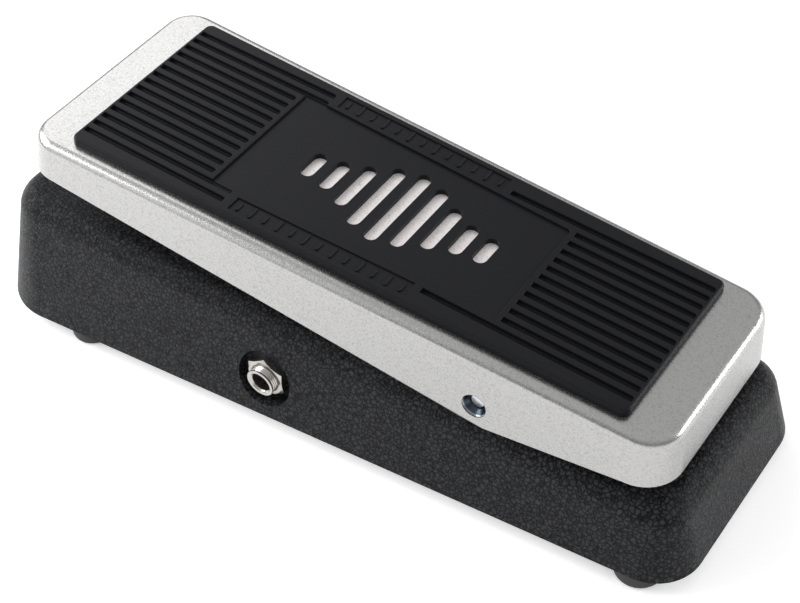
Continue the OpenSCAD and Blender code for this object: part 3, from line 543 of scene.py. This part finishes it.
# Nine bars are cut right through the panel and let the metal show
bar_half = 2.2 * mm
bar_pitch = 7.6 * mm
bars = []
for i in range(-4, 5):
    half = (10 + 22 * math.exp(-(i / 2.1) ** 2)) / 2 * mm - bar_half
    y = bars_y + i * bar_pitch
    sides = [(-1 * mm, bar_half)]
    sides += [(panel_floor - drop, bar_half + move) for drop, move in flare(0.25 * mm, 3)]
    sides.append((pad_h + 1 * mm, bar_half + 0.25 * mm))
    bars.append([slot_ring((-half, y), (half, y), width, z, 12) for z, width in sides])
cut_away(body, skin("bars", bars))

pad_rubber, tree, shader = coat("pad_rubber", (0.0075, 0.0079, 0.0100), 0.42)
shader.inputs["Specular IOR Level"].default_value = 0.14
relief(tree, shader, pattern(tree, "ShaderNodeTexNoise", 0.25 * mm, 3).outputs["Fac"], 0.03 * mm)
body.data.materials.append(pad_rubber)
body.data.polygons.foreach_set("use_smooth", [True] * len(body.data.polygons))
split = body.modifiers.new("sharp", "EDGE_SPLIT")
split.split_angle = math.radians(40)
normals = body.modifiers.new("normals", "WEIGHTED_NORMAL")
normals.keep_sharp = True
body.name = "ribbed_pad"
body.matrix_world = on_treadle
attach(body, "treadle")
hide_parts("rubber_pad")

# ---------------------------------------------------------------- studio
# A pale seamless paper floor, which glows a little as if lit from every side.
# Three soft boxes and a narrow strip light stand round it, and a long lens looks down from
# the player's left.
floor_coat, tree, shader = coat("studio_floor", (0.90, 0.90, 0.90), 0.7)
shader.inputs["Emission Color"].default_value = (1, 1, 1, 1)
shader.inputs["Emission Strength"].default_value = 0.36
relief(tree, shader, pattern(tree, "ShaderNodeTexNoise", 2 * mm).outputs["Fac"], 0.02 * mm)
bpy.ops.mesh.primitive_plane_add(size=8)
floor = bpy.context.object
floor.name = "floor"
floor.data.materials.append(floor_coat)
middle = Vector((0, 0, 50 * mm))


def soft_box(name, towards, distance, size, glow):
    """A rectangular lamp seen from the pedal in the given direction, with an even glow."""
    lamp = bpy.data.lights.new(name, "AREA")
    lamp.shape = "RECTANGLE"
    lamp.size, lamp.size_y = size
    lamp.energy = glow * math.pi * size[0] * size[1]
    made = bpy.data.objects.new(name, lamp)
    direction = Vector(towards).normalized()
    made.location = middle + distance * direction
    made.rotation_mode = "QUATERNION"
    made.rotation_quaternion = (-direction).to_track_quat("-Z", "Y")
    bpy.context.scene.collection.objects.link(made)


soft_box("key_box", (-0.30, 0.80, 0.55), 0.85, (0.65, 0.52), 5.6)
soft_box("toe_box", (0.50, 0.66, 0.62), 1.3, (0.7, 0.7), 1.75)
soft_box("side_box", (-0.74, 0.45, 0.30), 1.3, (0.5, 0.8), 0.8)
soft_box("heel_strip", (0.637, -0.724, 0.27), 1.1, (0.7, 0.20), 13)

world = bpy.data.worlds.new("studio")
world.use_nodes = True
sky = world.node_tree
place = sky.nodes.new("ShaderNodeTexCoord")
height = sky.nodes.new("ShaderNodeSeparateXYZ")
sky.links.new(place.outputs["Generated"], height.inputs[0])
ceiling = ramp(sky, height.outputs["Z"], [(0.0, 0.40), (0.35, 0.38), (0.75, 0.72)])
sky.links.new(ceiling, sky.nodes["Background"].inputs["Color"])
bpy.context.scene.world = world
bpy.context.scene.view_settings.view_transform = "Standard"

lens = bpy.data.cameras.new("camera")
lens.sensor_width = 36
lens.lens = 75.54
lens.clip_start = 0.01
camera = bpy.data.objects.new("camera", lens)
right = Vector((0.56146763, -0.82568464, -0.05476296))
up = Vector((0.60231965, 0.36240588, 0.71124751))
back = Vector((-0.56741973, -0.43232726, 0.70080525))
stand = Matrix.Translation((-0.2946, -0.23265, 0.38992))
camera.matrix_world = stand @ Matrix((right, up, back)).transposed().to_4x4()
bpy.context.scene.collection.objects.link(camera)
bpy.context.scene.camera = camera
